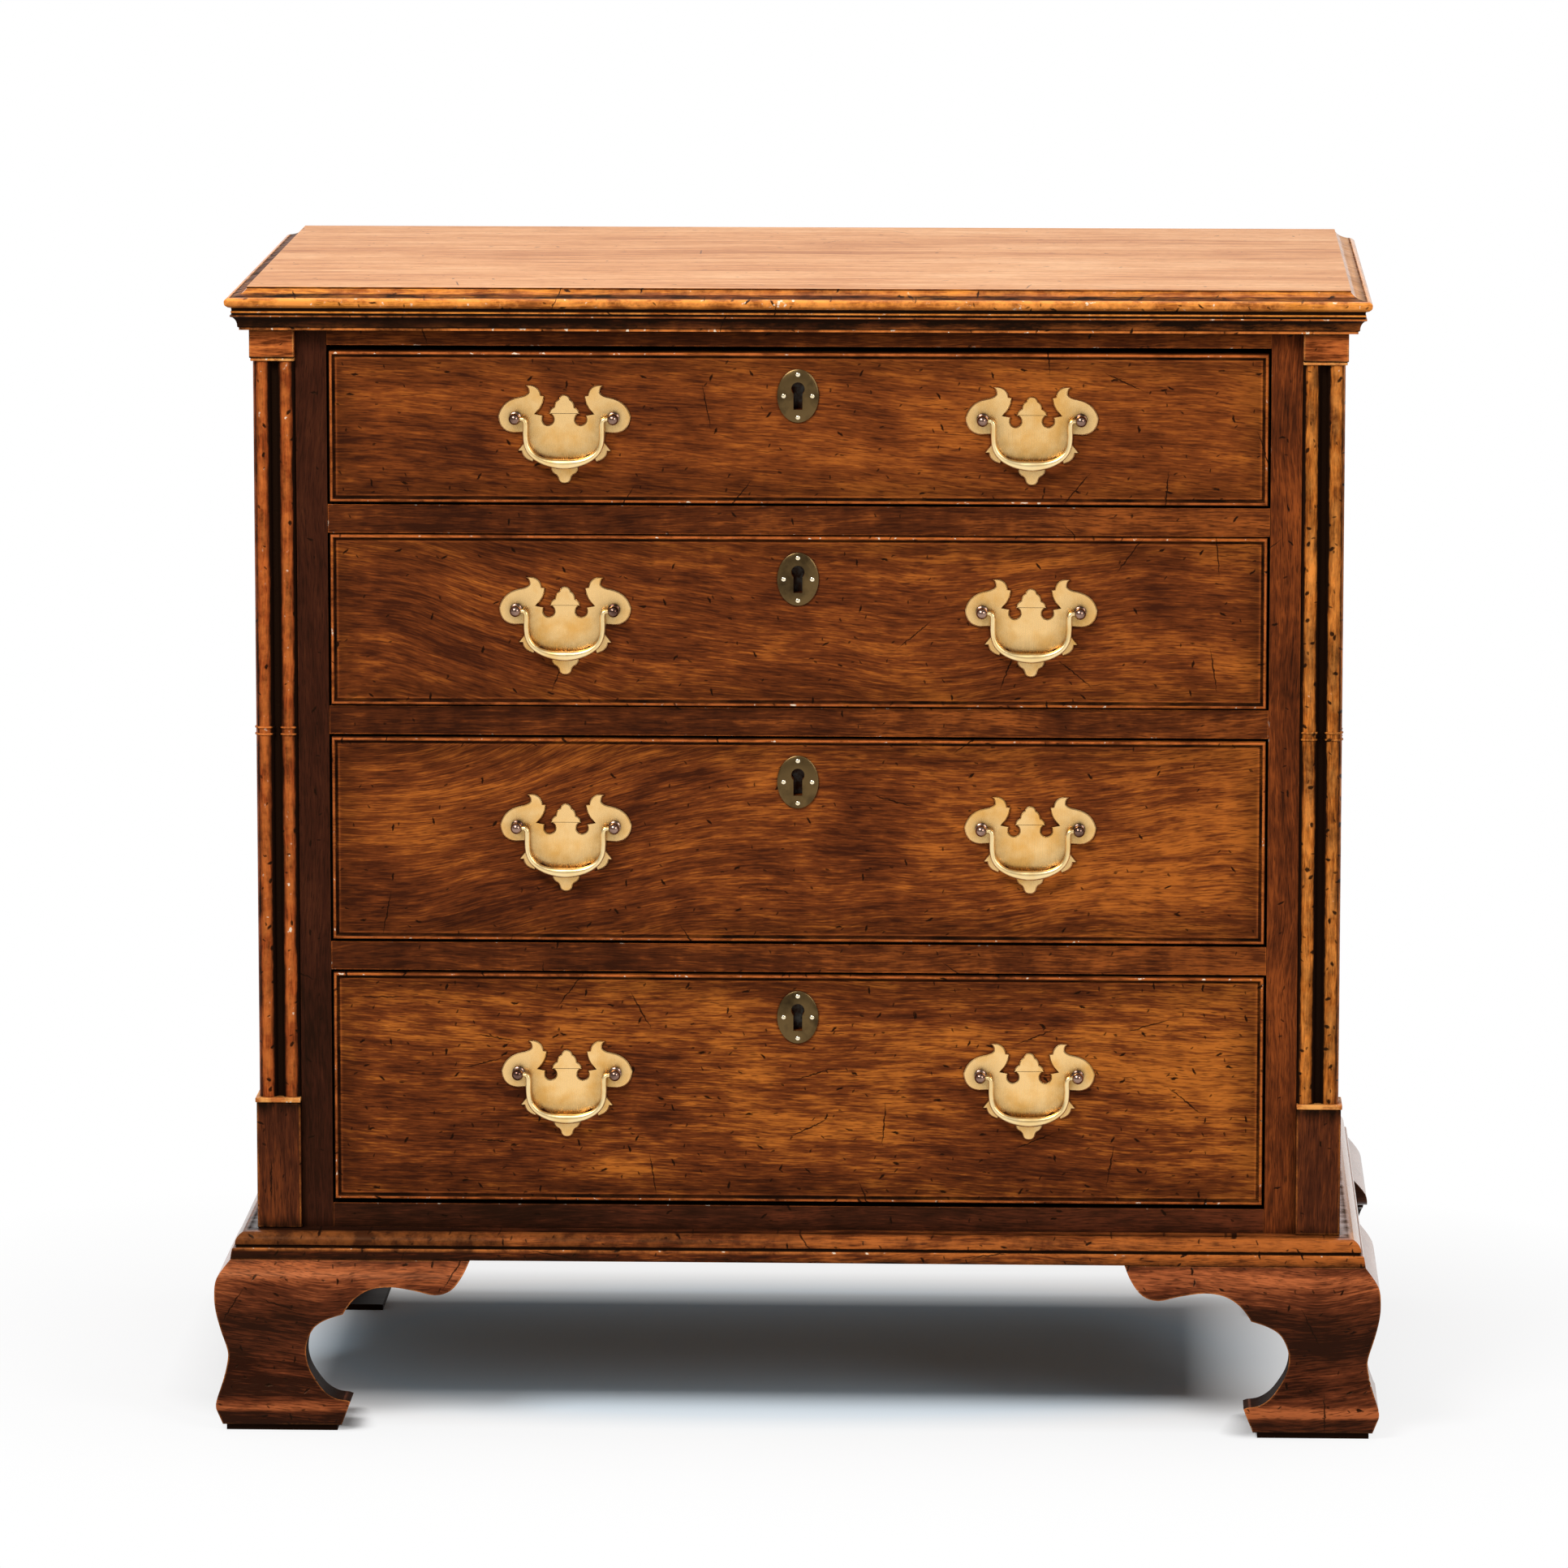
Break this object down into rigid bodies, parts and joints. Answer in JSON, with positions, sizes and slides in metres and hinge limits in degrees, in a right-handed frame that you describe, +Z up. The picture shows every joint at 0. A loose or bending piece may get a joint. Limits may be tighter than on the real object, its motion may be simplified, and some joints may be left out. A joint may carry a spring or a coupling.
{
  "type": "bachelors chest of drawers",
  "caption": "Low mahogany chest of graduated drawers with cluster corner columns, moulded top, ogee bracket feet and swan-neck bail handles.",
  "frame": {"origin": "on the floor, under the middle of the chest's bounding box", "axes": "+X to the chest's right as seen from the front, +Z up, drawer fronts face -Y"},
  "size_m": [0.837, 0.4878, 0.825],
  "materials": {
    "mahogany_show": "waxed red-brown mahogany",
    "mahogany_top": "sun-bleached waxed mahogany",
    "mahogany_dark": "darkened waxed mahogany",
    "mahogany_column": "worn waxed mahogany",
    "oak_inside": "dry unfinished oak",
    "brass_polished": "polished",
    "brass_aged": "dark patina",
    "lock_iron": "dull wrought iron"
  },
  "bodies": {
    "root": {"top_board": "mahogany_top", "cornice_moulding": "mahogany_dark", "top_rail": "mahogany_dark", "divider_1": "mahogany_dark", "divider_2": "mahogany_dark", "divider_3": "mahogany_dark", "bottom_rail": "mahogany_dark", "bottom_board": "oak_inside", "back_boards": "oak_inside", "base_moulding": "mahogany_dark", "left_side": "mahogany_show", "left_stile": "mahogany_dark", "left_column": "mahogany_column", "front_left_foot": "mahogany_show", "rear_left_foot": "mahogany_show", "right_side": "mahogany_show", "right_stile": "mahogany_dark", "right_column": "mahogany_column", "front_right_foot": "mahogany_show", "rear_right_foot": "mahogany_show"},
    "drawer_1": {"drawer_1_front": "mahogany_show", "drawer_1_box": "oak_inside", "drawer_1_bottom": "oak_inside", "drawer_1_lock": "lock_iron", "drawer_1_escutcheon": "brass_aged", "drawer_1_left_plate": "brass_polished", "drawer_1_right_plate": "brass_polished"},
    "drawer_1_bolt": {"drawer_1_lock_bolt": "brass_aged"},
    "drawer_1_left_handle": {"drawer_1_left_bail": "brass_polished"},
    "drawer_1_right_handle": {"drawer_1_right_bail": "brass_polished"},
    "drawer_2": {"drawer_2_front": "mahogany_show", "drawer_2_box": "oak_inside", "drawer_2_bottom": "oak_inside", "drawer_2_lock": "lock_iron", "drawer_2_escutcheon": "brass_aged", "drawer_2_left_plate": "brass_polished", "drawer_2_right_plate": "brass_polished"},
    "drawer_2_bolt": {"drawer_2_lock_bolt": "brass_aged"},
    "drawer_2_left_handle": {"drawer_2_left_bail": "brass_polished"},
    "drawer_2_right_handle": {"drawer_2_right_bail": "brass_polished"},
    "drawer_3": {"drawer_3_front": "mahogany_show", "drawer_3_box": "oak_inside", "drawer_3_bottom": "oak_inside", "drawer_3_lock": "lock_iron", "drawer_3_escutcheon": "brass_aged", "drawer_3_left_plate": "brass_polished", "drawer_3_right_plate": "brass_polished"},
    "drawer_3_bolt": {"drawer_3_lock_bolt": "brass_aged"},
    "drawer_3_left_handle": {"drawer_3_left_bail": "brass_polished"},
    "drawer_3_right_handle": {"drawer_3_right_bail": "brass_polished"},
    "drawer_4": {"drawer_4_front": "mahogany_show", "drawer_4_box": "oak_inside", "drawer_4_bottom": "oak_inside", "drawer_4_lock": "lock_iron", "drawer_4_escutcheon": "brass_aged", "drawer_4_left_plate": "brass_polished", "drawer_4_right_plate": "brass_polished"},
    "drawer_4_bolt": {"drawer_4_lock_bolt": "brass_aged"},
    "drawer_4_left_handle": {"drawer_4_left_bail": "brass_polished"},
    "drawer_4_right_handle": {"drawer_4_right_bail": "brass_polished"}
  },
  "joints": [
    {"name": "drawer_1_slide", "type": "slide", "parent": "root", "child": "drawer_1", "axis": [0, -1, 0], "range_m": [0, 0.32]},
    {"name": "drawer_1_bolt_slide", "type": "slide", "parent": "drawer_1", "child": "drawer_1_bolt", "axis": [0, 0, 1], "range_m": [0, 0.008]},
    {"name": "drawer_1_left_bail_swing", "type": "hinge", "parent": "drawer_1", "child": "drawer_1_left_handle", "pos_m": [-0.166, -0.2191, 0.73164], "axis": [-1, 0, 0], "range_deg": [0, 170]},
    {"name": "drawer_1_right_bail_swing", "type": "hinge", "parent": "drawer_1", "child": "drawer_1_right_handle", "pos_m": [0.166, -0.2191, 0.73164], "axis": [-1, 0, 0], "range_deg": [0, 170]},
    {"name": "drawer_2_slide", "type": "slide", "parent": "root", "child": "drawer_2", "axis": [0, -1, 0], "range_m": [0, 0.32]},
    {"name": "drawer_2_bolt_slide", "type": "slide", "parent": "drawer_2", "child": "drawer_2_bolt", "axis": [0, 0, 1], "range_m": [0, 0.008]},
    {"name": "drawer_2_left_bail_swing", "type": "hinge", "parent": "drawer_2", "child": "drawer_2_left_handle", "pos_m": [-0.166, -0.2191, 0.59416], "axis": [-1, 0, 0], "range_deg": [0, 170]},
    {"name": "drawer_2_right_bail_swing", "type": "hinge", "parent": "drawer_2", "child": "drawer_2_right_handle", "pos_m": [0.166, -0.2191, 0.59416], "axis": [-1, 0, 0], "range_deg": [0, 170]},
    {"name": "drawer_3_slide", "type": "slide", "parent": "root", "child": "drawer_3", "axis": [0, -1, 0], "range_m": [0, 0.32]},
    {"name": "drawer_3_bolt_slide", "type": "slide", "parent": "drawer_3", "child": "drawer_3_bolt", "axis": [0, 0, 1], "range_m": [0, 0.008]},
    {"name": "drawer_3_left_bail_swing", "type": "hinge", "parent": "drawer_3", "child": "drawer_3_left_handle", "pos_m": [-0.166, -0.2191, 0.43757], "axis": [-1, 0, 0], "range_deg": [0, 170]},
    {"name": "drawer_3_right_bail_swing", "type": "hinge", "parent": "drawer_3", "child": "drawer_3_right_handle", "pos_m": [0.166, -0.2191, 0.43757], "axis": [-1, 0, 0], "range_deg": [0, 170]},
    {"name": "drawer_4_slide", "type": "slide", "parent": "root", "child": "drawer_4", "axis": [0, -1, 0], "range_m": [0, 0.32]},
    {"name": "drawer_4_bolt_slide", "type": "slide", "parent": "drawer_4", "child": "drawer_4_bolt", "axis": [0, 0, 1], "range_m": [0, 0.008]},
    {"name": "drawer_4_left_bail_swing", "type": "hinge", "parent": "drawer_4", "child": "drawer_4_left_handle", "pos_m": [-0.166, -0.2191, 0.25833], "axis": [-1, 0, 0], "range_deg": [0, 170]},
    {"name": "drawer_4_right_bail_swing", "type": "hinge", "parent": "drawer_4", "child": "drawer_4_right_handle", "pos_m": [0.166, -0.2191, 0.25833], "axis": [-1, 0, 0], "range_deg": [0, 170]}
  ]
}
